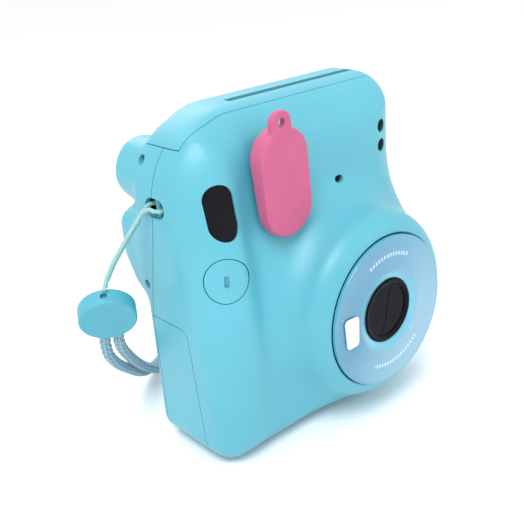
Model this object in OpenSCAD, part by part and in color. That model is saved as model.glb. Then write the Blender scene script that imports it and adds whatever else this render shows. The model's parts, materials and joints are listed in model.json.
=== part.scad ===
// Instant film camera, standing upright on its base.
// +Z up, the lens looks along -Y, the origin is the middle of the base.

/* [Body] */
// Width of the body
body_w = 107.6; // [106:0.4:110]
// Height of the body
body_h = 121.2; // [120:0.4:123.2]
// Depth from the lens ring to the eyepiece
body_d = 67.3; // [66.9:0.1:67.7]
// Wall thickness of the covers
wall = 2.0; // [1.6:0.2:2.2]

/* [Lens] */
// Sideways place of the lens axis
lens_x = 14; // [13.5:0.25:14.5]
// Height of the lens axis
lens_z = 42.5; // [42:0.25:43]
// Radius of the lens ring
ring_r = 28.4; // [28.0:0.1:28.4]
// Radius of the opening in the ring
hole_r = 12; // [11:0.5:12.5]

/* [Film] */
// Width of one film sheet
film_w = 54; // [53:0.5:54.5]
// Height of one film sheet
film_h = 86; // [85:0.5:86.5]

/* [Controls] */
// Radius of the shutter button
button_r = 7.4; // [6.8:0.2:7.6]
// Radius of the power button
power_r = 4; // [3:0.5:4]

/* [Output] */
// Which node to build

/* [Hidden] */

half_w = body_w / 2;
front_y = -body_d / 2;
back_y = body_d / 2;
slab_back = 24.5;
split_y = 15;
top_z = 111;
top_seam_y = 1.2;
gap = 0.3;
eps = 0.02;

// Corner radii of the front outline
r_top_left = 27;
r_top_right = 15;
r_base_left = 14;
r_base_right = 22;
// Depths of the front: recess at the top, full at the base, grip column
upper_front = -10;
lower_front = -19;
grip_front = -21.5;
grip_right = -31.5;

// Lens hump
hump_r = 33;
hump_base_r = 39;
hump_front = -31.5;

// Viewfinder
finder_x = -41;
finder_z = 91;
eye_z = 99;
eye_r = 11.7;

// Flash
flash_x = -16;
flash_z = 96;
flash_tilt = 5;
flash_face = -10.2;
meter_x = 39.5;
meter_z = [94.4, 101.8];

// Film chamber
film_x = 13;
pack_w = 61;
pack_z0 = 14;
pack_h = 94;
pack_front = 6;
pack_depth = 15.8;
slot_x = 12.8;
slot_w = 63.6;
slot_y = 9;
counter_x = -12;
counter_z = 114.4;

// Film drive, in modules of the gear teeth
tooth = 0.7;
roller_r = 3.2;
roller_z = 113;
roller_front_y = 5.5;
roller_rear_y = 12.5;
gear_x = -22.4;
gear_w = 2.6;
n_roller = 10;
n_idler = 26;
n_pinion = 8;
mesh_roller = tooth * (n_roller + n_idler) / 2;
mesh_idler = tooth * n_idler;
mesh_pinion = tooth * (n_idler + n_pinion) / 2;
gear_y = 12;
idler_dy = roller_rear_y - gear_y;
idler_z = roller_z - sqrt(mesh_roller * mesh_roller - idler_dy * idler_dy);
reduction_z = idler_z - mesh_idler;
pinion_z = reduction_z - mesh_pinion;

// Lens unit
barrel_r = 27.9;
barrel_back = -13;
blade_y = -30.4;
blade_t = 1.1;
blade_r = 12.7;
blade_pivot = 15.6;
blade_split = 118;

// Shutter button, on the corner of the grip
button_pos = [-48.0, -19.8, 70];
button_turn = -36;
power_y = -22.5;
power_angle = 24;
power_radius = 35.3;

// Two AA cells
battery_x = [-43.8, -29.4];
battery_cover_x = -41;
battery_cover_top = 51;
battery_cover_high_y = -1.5;
battery_cover_low_y = -6.5;

// Film door
door_x0 = -22;
door_x1 = 47;
door_z0 = 8;
door_z1 = 104;
hinge_x = 49.2;
hinge_y = 22.2;
hinge_r = 2.1;
knuckles = [22, 80];
knuckle_h = 8;
latch_x = -27;
latch_z = 52;
base_screw_x = [-34, 30];
base_screw_y = 17.6;
side_screw_y = 17.8;

// Strap
bar_x = -51.2;
bar_y = 7.9;
bar_z = 92.8;
cord_d = 1.5;
band_d = 4.2;
disc_pos = [-71.4, 17, 58.5];
disc_r = 9.8;
disc_t = 6.2;
cord_route = [[-73.1, 13.5, 69], [-71.9, 13.8, 71.1], [-70.5, 13.4, 74.1], [-68.5, 13, 77.3],
    [-66.1, 12.6, 80.2], [-63.7, 12.3, 83], [-61.2, 12, 85.7], [-58.4, 11.6, 88.6], [-56.2, 11, 91.2],
    [-55, 8.6, 92.6], [-54.6, 6.2, 92.4], [-52.9, 4.6, 92.2], [-50.6, 5.3, 92.4], [-49.1, 7.9, 92.8],
    [-50.4, 10.6, 93.2], [-52.8, 11.4, 93.2], [-55.4, 12.5, 90.6], [-57.6, 12.8, 87.4],
    [-60.3, 13, 84.6], [-62.8, 13.2, 82], [-65.2, 13.5, 79.2], [-67.6, 13.8, 76.3],
    [-69.6, 14.2, 73.1], [-71.3, 14.4, 70.6], [-71.8, 14.3, 69.2]];
band_route = [[-71.2, 21.9, 49.5], [-70.6, 23.6, 44.8], [-68.7, 26.4, 38.4], [-63.1, 32, 29.9],
    [-54.7, 40, 20.7], [-44.3, 49, 10.6], [-34, 57.5, 4.6], [-22, 65.5, 2.3], [-8, 71, 2.2],
    [8, 73.5, 2.2], [23, 71.5, 2.2], [32, 64, 2.2], [30, 55, 2.2], [18, 51.5, 2.2], [3, 52.5, 2.2],
    [-11, 55.5, 2.2], [-22, 56, 2.5], [-32.4, 52.5, 5.4], [-43.9, 45, 14.4], [-53.4, 36, 25],
    [-60.3, 28.5, 34], [-65, 23.2, 41.2], [-66.8, 20.6, 46], [-67.2, 19.6, 49.5]];

// ---------- shared shapes ----------

function arc(cx, cy, r, a0, a1, n = 7) =
    [for (i = [0 : n]) [cx + r * cos(a0 + (a1 - a0) * i / n), cy + r * sin(a0 + (a1 - a0) * i / n)]];

// Front outline, drawn in X and Z
module outline(i) {
    x0 = -half_w + i;
    x1 = half_w - i;
    z1 = body_h - i;
    tl = r_top_left - i;
    tr = r_top_right - i;
    bl = r_base_left - i;
    br = r_base_right - i;
    polygon(concat(
        arc(x1 - tr, z1 - tr, tr, 0, 90),
        arc(x0 + tl, z1 - tl, tl, 90, 180),
        arc(x0 + bl, i + bl, bl, 180, 270),
        arc(x1 - br, i + br, br, 270, 360)));
}

// Turns a shape drawn in X and Z so that it runs from y0 to y1
module along_y(y0, y1) {
    translate([0, y1, 0]) rotate([90, 0, 0]) linear_extrude(y1 - y0) children();
}

// Turns a shape drawn in Y and Z so that it runs from x0 to x1
module along_x(x0, x1) {
    translate([x0, 0, 0]) rotate([90, 0, 90]) linear_extrude(x1 - x0) children();
}

// Side profile of the slab: full at the base, recessed at the top
module slab_side(i) {
    y0 = lower_front + i;
    y1 = upper_front + i;
    yb = slab_back - i;
    z1 = body_h - i;
    polygon(concat(
        arc(y0 + 9, i + 9, 9, 180, 270),
        arc(yb - 6, i + 6, 6, 270, 360),
        arc(yb - 8, z1 - 8, 8, 0, 90),
        arc(y1 + 14, z1 - 14, 14, 90, 180),
        [[y1, 90], [y0, 38]]));
}

// Side profile of the grip column
module grip_side(i) {
    y0 = grip_front + i;
    y1 = upper_front - 2 + i;
    polygon(concat(
        arc(y0 + 11, i + 11, 11, 180, 270),
        [[slab_back - 6, i], [slab_back - 6, 108], [y1 + 6, 108], [y1, 102], [y0, 68]]));
}

// Top profile of the slab; the grip covers its front left corner
module slab_top(i) {
    x0 = -half_w + i;
    x1 = half_w - i;
    y0 = lower_front + i;
    yb = slab_back - i;
    polygon(concat(
        [[x0, 3], [x0 + 8, y0 + 10], [x0 + 16, y0]],
        arc(x1 - 20, y0 + 20, 20, 270, 360),
        arc(x1 - 7, yb - 7, 7, 0, 90),
        arc(x0 + 7, yb - 7, 7, 90, 180)));
}

module grip_top(i) {
    x0 = -half_w + i;
    x1 = grip_right - i;
    y0 = grip_front + i;
    polygon(concat(
        arc(x0 + 11, y0 + 11, 11, 180, 270),
        arc(x1 - 6, y0 + 6, 6, 270, 360),
        [[x1, slab_back - 6], [x0, slab_back - 6]]));
}

// Outer volume of the body, set in by i
module body_volume(i) {
    intersection() {
        along_y(-40, 40) outline(i);
        along_x(-60, 60) slab_side(i);
        translate([0, 0, -10]) linear_extrude(150) slab_top(i);
    }
    intersection() {
        along_y(-40, 40) outline(i);
        along_x(-60, 60) grip_side(i);
        translate([0, 0, -10]) linear_extrude(150) grip_top(i);
    }
    intersection() {
        along_y(-40, 40) outline(i);
        translate([lens_x, 0, lens_z]) rotate([90, 0, 0]) rotate_extrude($fn = 64)
            polygon([[0, -6], [hump_base_r - i, -6], [hump_base_r - i, 10],
                [hump_r + 2 - i, 24], [hump_r - i, 29 - i], [hump_r - 2.5 - i, -hump_front - i],
                [0, -hump_front - i]]);
    }
    if (i == 0) {
        translate([finder_x, back_y, eye_z]) rotate([90, 0, 0]) cylinder(h = 14, r = eye_r, $fn = 64);
    }
}

module shell() {
    difference() {
        body_volume(0);
        body_volume(wall);
    }
}

// A stadium: two round ends joined by straight sides, drawn in X and Z
module stadium(r, z0, z1) {
    translate([-r, z0]) square([2 * r, z1 - z0]);
    translate([0, z0]) circle(r = r, $fn = 48);
    translate([0, z1]) circle(r = r, $fn = 48);
}

module button_frame() {
    translate(button_pos) rotate([0, 0, button_turn]) rotate([90, 0, 0]) children();
}

// Local +Z points out of the right flank of the lens hump
module power_frame() {
    translate([lens_x, power_y, lens_z]) rotate([0, 90 - power_angle, 0]) translate([0, 0, power_radius])
        children();
}

module flash_frame() {
    translate([flash_x, flash_face, flash_z]) rotate([-flash_tilt, 0, 0]) children();
}

module lens_frame(y) {
    translate([lens_x, y, lens_z]) rotate([90, 0, 0]) children();
}

module eyepiece_tube(grow) {
    translate([finder_x, back_y + 1, eye_z]) rotate([90, 0, 0]) cylinder(h = 16, r = eye_r + grow, $fn = 64);
}

// Volume of the cover that holds the film slot; the eyepiece stays with the rear cover
module top_region(i) {
    difference() {
        translate([-60, top_seam_y + i, top_z + i]) cube([120, 40, 20]);
        eyepiece_tube(gap / 2 + i);
    }
}

// Space that the battery cover closes: the side of the grip and its lower edge
module battery_opening(i) {
    along_x(-60, battery_cover_x - i) polygon(concat(
        [[battery_cover_low_y + i, -1], [split_y - i, -1], [split_y - i, battery_cover_top - i]],
        arc(battery_cover_high_y + 3, battery_cover_top - 3, 3 - i, 90, 175)));
}

// ---------- covers ----------

module front_cover() {
    color([0.49, 0.81, 0.90]) difference() {
        shell();
        translate([-60, split_y, -1]) cube([120, 40, 140]);
        top_region(-gap / 2);
        battery_opening(-0.15);
        lens_frame(-20) cylinder(h = 20, r = ring_r + 0.5, $fn = 96);
        translate([finder_x, 0, 0]) along_y(-30, 0) stadium(5.3, finder_z - 4.6, finder_z + 4.6);
        flash_frame() along_y(-4, 6) stadium(6.1, -6, 6);
        for (z = meter_z) {
            translate([meter_x, 0, z]) rotate([90, 0, 0]) cylinder(h = 30, r = 1.9, $fn = 32);
        }
        translate([14.4, 0, 88]) rotate([90, 0, 0]) cylinder(h = 30, r = 1.6, $fn = 32);
        button_frame() translate([0, 0, -12]) cylinder(h = 24, r = button_r + 0.35, $fn = 64);
        power_frame() translate([0, 0, -4]) cylinder(h = 12, r = power_r + 0.35, $fn = 48);
        translate([-55, bar_y - 5.8, bar_z - 3.5]) cube([6, 10.5, 7]);
    }
}

module rear_cover() {
    color([0.47, 0.79, 0.88]) difference() {
        shell();
        translate([-60, -40, -1]) cube([120, 40 + split_y + 0.2, 140]);
        top_region(-gap / 2);
        translate([door_x0 - 0.4, 19.6, door_z0 - 0.4])
            cube([hinge_x - door_x0 + 0.4, 10, door_z1 - door_z0 + 0.8]);
        difference() {
            translate([hinge_x, hinge_y, door_z0 - 0.4])
                cylinder(h = door_z1 - door_z0 + 0.8, r = 3.1, $fn = 48);
            for (z = knuckles) {
                translate([hinge_x, hinge_y - 4, z]) cube([6, 6, knuckle_h]);
            }
        }
        for (z = knuckles) {
            translate([hinge_x, hinge_y, z - 1]) cylinder(h = knuckle_h + 2, r = 1.05, $fn = 32);
        }
        translate([latch_x, 22, latch_z - 3.5]) cube([8, 4, 7]);
        translate([finder_x, 40, eye_z]) rotate([90, 0, 0]) cylinder(h = 30, r = 7.4, $fn = 48);
        translate([latch_x - 3.4, 19.6, latch_z - 9.6]) cube([6.8, 10, 17.2]);
        translate([-56, side_screw_y, 63]) rotate([0, 90, 0]) cylinder(h = 8, r = 1.6, $fn = 32);
        translate([-56, side_screw_y, 106.4]) rotate([0, 90, 0]) cylinder(h = 12, r = 1.5, $fn = 32);
        for (x = base_screw_x) {
            translate([x, base_screw_y, -1]) cylinder(h = 6, r = 1.6, $fn = 32);
        }
    }
}

module top_cover() {
    color([0.50, 0.82, 0.91]) difference() {
        intersection() {
            shell();
            top_region(gap / 2);
        }
        translate([slot_x - slot_w / 2, slot_y - 1.7, 112]) cube([slot_w, 3.4, 12]);
        translate([counter_x, 18.6, counter_z]) rotate([-90, 0, 0]) cylinder(h = 12, r = 2.5, $fn = 32);
    }
}

// ---------- film chamber ----------

module chassis() {
    color([0.10, 0.10, 0.11]) {
        difference() {
            translate([film_x - pack_w / 2 - 2.2, 2.4, pack_z0 - 2.2])
                cube([pack_w + 4.4, 16.6, pack_h + 4.4]);
            translate([film_x - pack_w / 2 - 0.4, 4.6, pack_z0 - 0.4])
                cube([pack_w + 0.8, 20, pack_h + 0.8]);
            translate([film_x - 23.5, 0, 29]) cube([47, 10, 63]);
            translate([film_x - 30.4, 4, pack_z0 + pack_h - 1]) cube([60.8, 16, 6]);
            translate([film_x - 30.4, 1.9, roller_z - roller_r - 0.4]) cube([60.8, 4, 3]);
            for (z = [idler_z, reduction_z]) {
                translate([film_x - pack_w / 2 - 3, gear_y, z]) rotate([0, 90, 0])
                    cylinder(h = 4, r = 1.35, $fn = 32);
            }
        }
        // Cheeks that carry the two rollers
        for (x = [film_x - pack_w / 2 - 2.2, film_x + pack_w / 2 + 0.2]) {
            difference() {
                translate([x, 1.4, pack_z0 + pack_h + 2.2]) cube([2, 14.8, 6.2]);
                for (y = [roller_front_y, roller_rear_y]) {
                    translate([x - 1, y, roller_z]) rotate([0, 90, 0]) cylinder(h = 4, r = 1.35, $fn = 32);
                }
            }
        }
    }
}

module dark_chamber() {
    color([0.07, 0.07, 0.08]) difference() {
        union() {
            translate([film_x - 25.5, -0.2, 27]) cube([51, 2.4, 67]);
            translate([lens_x - 14, -9.6, lens_z - 10]) cube([28, 9.5, 25]);
        }
        translate([film_x - 23.5, -0.9, 29]) cube([47, 5, 63]);
        translate([lens_x - 12.4, -10, lens_z - 8.4]) cube([24.8, 14, 21.8]);
    }
}

module film_pack() {
    color([0.13, 0.13, 0.14]) difference() {
        translate([film_x - pack_w / 2, pack_front, pack_z0]) cube([pack_w, pack_depth, pack_h]);
        translate([film_x - 27.6, pack_front + 1.2, pack_z0 + 1.2])
            cube([55.2, pack_depth - 2.6, pack_h - 2.4]);
        translate([film_x - 23.2, pack_front - 1, 29.2]) cube([46.4, 4, 62.6]);
        translate([film_x - 27.4, pack_front + 2.2, pack_z0 + pack_h - 3]) cube([54.8, 1.8, 5]);
    }
}

module film_sheets() {
    color([0.93, 0.93, 0.91]) for (k = [0 : 9]) {
        translate([film_x - film_w / 2, pack_front + 2.6 + k * 0.85, pack_z0 + 3])
            cube([film_w, 0.5, film_h]);
    }
}

// ---------- film drive ----------

// Flat gear with straight-sided teeth, a tooth centred on angle 0
module gear_outline(n) {
    r = tooth * n / 2;
    p = 360 / n;
    polygon([for (k = [0 : n - 1]) each [
        [(r - 1.15 * tooth) * cos((k - 0.30) * p), (r - 1.15 * tooth) * sin((k - 0.30) * p)],
        [(r + 0.80 * tooth) * cos((k - 0.11) * p), (r + 0.80 * tooth) * sin((k - 0.11) * p)],
        [(r + 0.80 * tooth) * cos((k + 0.11) * p), (r + 0.80 * tooth) * sin((k + 0.11) * p)],
        [(r - 1.15 * tooth) * cos((k + 0.30) * p), (r - 1.15 * tooth) * sin((k + 0.30) * p)]]]);
}

// Angle that puts a gear of n_b teeth in mesh with one of n_a teeth at direction phi
function mesh_angle(a, n_a, n_b, phi) = phi + 180 - ((a - phi) * n_a / 360 + 0.5) * 360 / n_b;

rear_angle = 0;
front_angle = mesh_angle(rear_angle, n_roller, n_roller, 180);
idler_phi = atan2(idler_z - roller_z, gear_y - roller_rear_y);
idler_angle = mesh_angle(rear_angle, n_roller, n_idler, idler_phi);
reduction_angle = mesh_angle(idler_angle, n_idler, n_idler, -90);
pinion_angle = mesh_angle(reduction_angle, n_idler, n_pinion, -90);

module gear(n, y, z, a, bore_r) {
    translate([gear_x, y, z]) rotate([90, 0, 90]) difference() {
        linear_extrude(gear_w) rotate(a) gear_outline(n);
        translate([0, 0, -1]) cylinder(h = gear_w + 2, r = bore_r, $fn = 32);
    }
}

module roller(y, a) {
    x0 = film_x - pack_w / 2 - 2.2;
    translate([x0 + 3, y, roller_z]) rotate([0, 90, 0]) cylinder(h = pack_w - 1.6, r = roller_r, $fn = 48);
    translate([gear_x + gear_w - 0.5, y, roller_z]) rotate([0, 90, 0])
        cylinder(h = pack_w + 6.6, r = 1.28, $fn = 32);
    gear(n_roller, y, roller_z, a, 0.8);
}

module roller_front() {
    color([0.62, 0.64, 0.66]) roller(roller_front_y, front_angle);
}

module roller_rear() {
    color([0.62, 0.64, 0.66]) roller(roller_rear_y, rear_angle);
}

module stub_axle(z) {
    translate([gear_x - 0.4, gear_y, z]) rotate([0, 90, 0]) cylinder(h = 4.2, r = 1.2, $fn = 32);
}

module idler_gear() {
    color([0.90, 0.89, 0.84]) {
        gear(n_idler, gear_y, idler_z, idler_angle, 1.1);
        stub_axle(idler_z);
    }
}

module reduction_gear() {
    color([0.90, 0.89, 0.84]) {
        gear(n_idler, gear_y, reduction_z, reduction_angle, 1.1);
        stub_axle(reduction_z);
    }
}

module motor_pinion() {
    color([0.80, 0.66, 0.30]) {
        gear(n_pinion, gear_y, pinion_z, pinion_angle, 0.5);
        translate([gear_x - 3.2, gear_y, pinion_z]) rotate([0, 90, 0]) cylinder(h = 5, r = 0.9, $fn = 32);
    }
}

module drive_motor() {
    color([0.70, 0.71, 0.73]) difference() {
        union() {
            translate([gear_x - 26, gear_y, pinion_z]) rotate([0, 90, 0]) cylinder(h = 23, r = 7.6, $fn = 48);
            translate([gear_x - 3, gear_y, pinion_z]) rotate([0, 90, 0]) cylinder(h = 1.4, r = 2.6, $fn = 32);
        }
        translate([gear_x - 5, gear_y, pinion_z]) rotate([0, 90, 0]) cylinder(h = 6, r = 1.0, $fn = 32);
    }
}

// Hook that pushes the exposed sheet up into the rollers
module film_claw() {
    color([0.72, 0.73, 0.75]) {
        translate([film_x + pack_w / 2 + 2.9, 5.4, 44]) cube([1.2, 5, 40]);
        translate([film_x + pack_w / 2 + 2.9, 5.4, 80]) cube([1.2, 9, 4]);
    }
}

// Light flap just under the slot
module slot_flap() {
    color([0.12, 0.12, 0.13]) {
        translate([slot_x - 30, slot_y - 1.9, 117.2]) cube([60, 3.9, 0.8]);
        translate([slot_x - 30.8, slot_y - 2.3, 117.6]) rotate([0, 90, 0])
            cylinder(h = 61.6, r = 0.7, $fn = 24);
    }
}

// Disc that counts the shots, seen through a small window at the back
module counter_dial() {
    color([0.95, 0.95, 0.93]) {
        translate([counter_x, 19.4, counter_z]) rotate([90, 0, 0]) cylinder(h = 1.2, r = 2.6, $fn = 48);
        translate([counter_x, 18.4, counter_z]) rotate([90, 0, 0]) cylinder(h = 1.8, r = 1.2, $fn = 24);
    }
}

module counter_window() {
    color([0.55, 0.60, 0.62]) translate([counter_x, 21.9, counter_z]) rotate([90, 0, 0])
        cylinder(h = 1.6, r = 2.3, $fn = 32);
}

// ---------- lens ----------

module lens_guide() {
    color([0.09, 0.09, 0.10]) {
        lens_frame(-10.4) difference() {
            cylinder(h = 8, r = ring_r + 2.2, $fn = 96);
            translate([0, 0, -1]) cylinder(h = 30, r = ring_r + 0.2, $fn = 96);
        }
        // Posts down to the plate of the dark chamber
        for (a = [40, 140, 220, 320]) {
            lens_frame(-0.2) rotate(a) translate([ring_r + 1.2, 0, 0]) cylinder(h = 10.2, r = 1.0, $fn = 24);
        }
    }
}

module lens_barrel() {
    color([0.09, 0.09, 0.10]) {
        lens_frame(barrel_back) difference() {
            cylinder(h = 18.5, r = barrel_r, $fn = 96);
            translate([0, 0, -1]) cylinder(h = 30, r = barrel_r - 1.5, $fn = 96);
        }
        lens_frame(-18) difference() {
            cylinder(h = 1.5, r = barrel_r - 1.4, $fn = 96);
            translate([0, 0, -1]) cylinder(h = 4, r = 9.2, $fn = 64);
        }
    }
}

module lens_ring() {
    color([0.55, 0.74, 0.88]) lens_frame(0) rotate_extrude($fn = 96)
        polygon([[hole_r + 1.4, 31.5], [ring_r - 0.4, 31.5], [ring_r, 31.9], [ring_r, 32.5],
            [ring_r - 0.8, 33.0], [24, 33.3], [15.2, 33.3], [hole_r + 1.7, 32.6]]);
}

module lens_rim() {
    color([0.06, 0.06, 0.07]) lens_frame(0) rotate_extrude($fn = 64)
        polygon([[hole_r - 0.9, 31.6], [hole_r + 1.1, 31.6], [hole_r + 1.1, 32.6],
            [hole_r + 0.3, 32.9], [hole_r - 0.2, 32.3], [hole_r - 0.9, 32.2]]);
}

module selfie_mirror() {
    color([0.90, 0.93, 0.95]) translate([lens_x - 19.6, 0, lens_z - 2.6]) along_y(front_y, -33.3)
        polygon(concat(arc(2.0, 3.4, 1.6, 0, 90, 4), arc(-2.0, 3.6, 1.6, 90, 180, 4),
            arc(-1.2, -3.4, 1.6, 180, 270, 4), arc(1.6, -3.4, 1.6, 270, 360, 4)));
}

module front_lens() {
    color([0.60, 0.72, 0.80, 0.4]) lens_frame(-22.4) rotate_extrude($fn = 64)
        polygon(concat([[0, 0], [8.6, 0], [8.6, 2.2]], [for (k = [1 : 8])
            [8.6 * cos(k * 11.25), 2.2 + 2.6 * sin(k * 11.25)]]));
}

module rear_lens() {
    color([0.60, 0.72, 0.80, 0.4]) lens_frame(-14.2) rotate_extrude($fn = 64)
        polygon(concat([[0, 0.8], [5, 0.2], [7.4, 0], [7.4, 1.8]], [for (k = [1 : 8])
            [7.4 * cos(k * 11.25), 1.8 + 1.4 * sin(k * 11.25)]]));
}

module shutter_plate() {
    color([0.16, 0.16, 0.17]) lens_frame(-19.8) difference() {
        cylinder(h = 0.8, r = 17, $fn = 64);
        translate([0, 0, -1]) cylinder(h = 3, r = 4.2, $fn = 48);
    }
}

module shutter_blade() {
    color([0.10, 0.10, 0.11]) lens_frame(-21.2) {
        cylinder(h = 0.4, r = 5.2, $fn = 48);
        translate([0, -1.2, 0]) cube([11.4, 2.4, 0.4]);
        translate([11.4, 0, -0.1]) cylinder(h = 0.7, r = 1.8, $fn = 24);
    }
}

// Half of the lens cover: a half disc with an S-shaped edge and a pivot lobe
module cover_blade() {
    lens_frame(blade_y) linear_extrude(blade_t) {
        polygon(concat(
            [for (k = [0 : 16]) let (u = -blade_r + k * blade_r / 8)
                [u, 0.2 + 1.5 * sin(u / blade_r * 180)]],
            arc(0, 0, blade_r, 2, 178, 20)));
        translate([-blade_pivot, 0.9]) circle(r = 1.6, $fn = 24);
        translate([-blade_pivot, 0.9]) square([4.6, 1.6]);
    }
}

module cover_blade_upper() {
    color([0.05, 0.05, 0.06]) translate([lens_x, 0, lens_z]) rotate([0, blade_split, 0])
        translate([-lens_x, 0, -lens_z]) cover_blade();
}

module cover_blade_lower() {
    color([0.05, 0.05, 0.06]) translate([lens_x, 0, lens_z]) rotate([0, blade_split + 180, 0])
        translate([-lens_x, 0, -lens_z]) cover_blade();
}

// Coil spring: a round wire swept along a helix on the Z axis
module coil(r, wire, height, turns) {
    per_turn = 14;
    sides = 6;
    n = turns * per_turn;
    pts = [for (i = [0 : n]) for (j = [0 : sides - 1])
        let (a = 360 * i / per_turn, b = 360 * j / sides, q = r + wire / 2 * cos(b))
        [q * cos(a), q * sin(a), wire / 2 + (height - wire) * i / n + wire / 2 * sin(b)]];
    side_faces = [for (i = [0 : n - 1]) for (j = [0 : sides - 1])
        let (k = (j + 1) % sides) [i * sides + j, i * sides + k, (i + 1) * sides + k, (i + 1) * sides + j]];
    ends = [[for (j = [sides - 1 : -1 : 0]) j], [for (j = [0 : sides - 1]) n * sides + j]];
    polyhedron(pts, concat(side_faces, ends));
}

module lens_spring() {
    color([0.75, 0.76, 0.78]) lens_frame(-0.5) coil(26.9, 0.9, 12.2, 4);
}

module shutter_spring() {
    color([0.75, 0.76, 0.78]) button_frame() translate([0, 0, -9.5]) coil(3.0, 0.5, 2.3, 3);
}

module power_spring() {
    color([0.75, 0.76, 0.78]) power_frame() translate([0, 0, -4.5]) coil(1.9, 0.35, 1.2, 2);
}

module latch_spring() {
    color([0.75, 0.76, 0.78]) translate([latch_x, 24.1, latch_z - 9.4]) coil(1.0, 0.4, 4.3, 4);
}

// ---------- viewfinder ----------

module viewfinder_window() {
    color([0.04, 0.04, 0.05]) translate([finder_x, 0, 0]) along_y(-9.0, -7.4)
        stadium(5.2, finder_z - 4.6, finder_z + 4.6);
}

module viewfinder_tunnel() {
    color([0.08, 0.08, 0.09]) difference() {
        translate([finder_x - 6, -7.3, 86]) cube([12, 28.6, 18.6]);
        translate([finder_x - 4.8, -8, 87.2]) cube([9.6, 32, 16.2]);
    }
}

module viewfinder_lens() {
    color([0.62, 0.72, 0.78, 0.4]) translate([finder_x - 4.6, -4, 87.6]) cube([9.2, 1.6, 9]);
}

module eyepiece_lens() {
    color([0.30, 0.33, 0.36]) translate([finder_x, 29.6, eye_z]) rotate([90, 0, 0])
        cylinder(h = 1.8, r = 7.2, $fn = 48);
}

// ---------- flash and metering ----------

module flash_window() {
    color([0.92, 0.94, 0.95, 0.6]) flash_frame() difference() {
        along_y(-1.8, 1.6) stadium(5.9, -6, 6);
        along_y(-0.9, 2.6) stadium(5.0, -6, 6);
    }
}

module flash_reflector() {
    color([0.86, 0.87, 0.88]) flash_frame() difference() {
        translate([-5.6, 2.8, -9.6]) cube([11.2, 7.2, 19.2]);
        translate([-4.4, 1, -8.4]) cube([8.8, 7.6, 16.8]);
    }
}

module flash_tube() {
    color([0.93, 0.95, 0.97, 0.5]) flash_frame() translate([0, 6, -8.2])
        cylinder(h = 16.4, r = 1.5, $fn = 32);
}

module flash_capacitor() {
    color([0.12, 0.13, 0.16]) translate([-28.5, -5.5, 12]) cylinder(h = 32, r = 6, $fn = 48);
}

// Soft cap over the flash, with a lug to pull it off
module flash_cover() {
    color([0.89, 0.45, 0.62]) flash_frame() difference() {
        union() {
            along_y(-6.6, -1.1) stadium(10, -9.2, 10.4);
            along_y(-6.6, -3.2) stadium(4, 18.6, 20.4);
        }
        along_y(-3.8, 1) stadium(7.4, -7.4, 7.4);
        along_y(-8, 0) translate([0, 20.8]) circle(r = 1.3, $fn = 32);
    }
}

module meter_windows() {
    color([0.03, 0.03, 0.04]) for (z = meter_z) {
        translate([meter_x, -5.4, z]) rotate([90, 0, 0]) cylinder(h = 2.2, r = 1.75, $fn = 32);
    }
}

module flash_sensor_window() {
    color([0.03, 0.03, 0.04]) translate([14.4, -7.4, 88]) rotate([90, 0, 0])
        cylinder(h = 1.5, r = 1.45, $fn = 32);
}

module main_board() {
    color([0.10, 0.35, 0.22]) difference() {
        translate([-9.6, -3.9, 83.5]) cube([56, 1.2, 28]);
        translate([-4, 0, 108]) rotate([90, 0, 0]) cylinder(h = 8, r = 1.2, $fn = 24);
    }
    color([0.10, 0.10, 0.11]) {
        translate([2, -2.7 - eps, 96]) cube([9, 1.4, 9]);
        translate([18, -2.7 - eps, 99]) cube([6, 1.4, 4]);
    }
}

// ---------- power ----------

module batteries() {
    color([0.80, 0.80, 0.78]) for (x = battery_x) {
        translate([x, 8.6, 10]) {
            cylinder(h = 49, r = 7.1, $fn = 48);
            translate([0, 0, 49 - eps]) cylinder(h = 1.5, r = 2.75, $fn = 32);
        }
    }
}

module battery_contacts() {
    color([0.80, 0.81, 0.83]) {
        translate([-49.4, 4, 8.6]) cube([27, 9, 0.6]);
        for (x = battery_x) {
            translate([x - 4, 5, 61]) cube([8, 7, 0.6]);
            translate([x, 8.6, 9.2]) cylinder(h = 0.8, r = 2.4, $fn = 24);
        }
    }
}

module battery_cover() {
    color([0.47, 0.80, 0.89]) intersection() {
        shell();
        battery_opening(0.15);
    }
}

// ---------- controls ----------

// The body's volume, seen in the button's own frame, so that the cap follows the grip
module body_in_button_frame() {
    rotate([-90, 0, 0]) rotate([0, 0, -button_turn]) translate(-button_pos) body_volume(0);
}

module shutter_button() {
    color([0.47, 0.80, 0.89]) button_frame() difference() {
        union() {
            intersection() {
                body_in_button_frame();
                translate([0, 0, -6]) cylinder(h = 12, r = button_r, $fn = 64);
            }
            translate([0, 0, -7.3]) cylinder(h = 2, r = 1.6, $fn = 32);
        }
        translate([0, 0, -0.6]) {
            translate([-0.9, -1.5, 0]) cube([1.8, 3, 4]);
            translate([0, -1.5, 0]) cylinder(h = 4, r = 0.9, $fn = 24);
            translate([0, 1.5, 0]) cylinder(h = 4, r = 0.9, $fn = 24);
        }
    }
}

module power_button() {
    color([0.86, 0.90, 0.92]) power_frame() {
        translate([0, 0, -2.4]) cylinder(h = 3.3, r = power_r, $fn = 48);
        translate([0, 0, -3.2]) cylinder(h = 1.0, r = 1.2, $fn = 24);
    }
}

module button_switches() {
    color([0.15, 0.15, 0.16]) {
        button_frame() {
            translate([-3.6, -3.6, -11.6]) cube([7.2, 7.2, 2.1]);
            translate([0, 0, -9.6]) cylinder(h = 1.1, r = 1.2, $fn = 24);
        }
        power_frame() {
            translate([-3, -2.6, -6.2]) cube([6, 5.2, 1.6]);
            translate([0, 0, -4.7]) cylinder(h = 0.7, r = 1.0, $fn = 24);
        }
    }
}

// ---------- film door ----------

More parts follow.
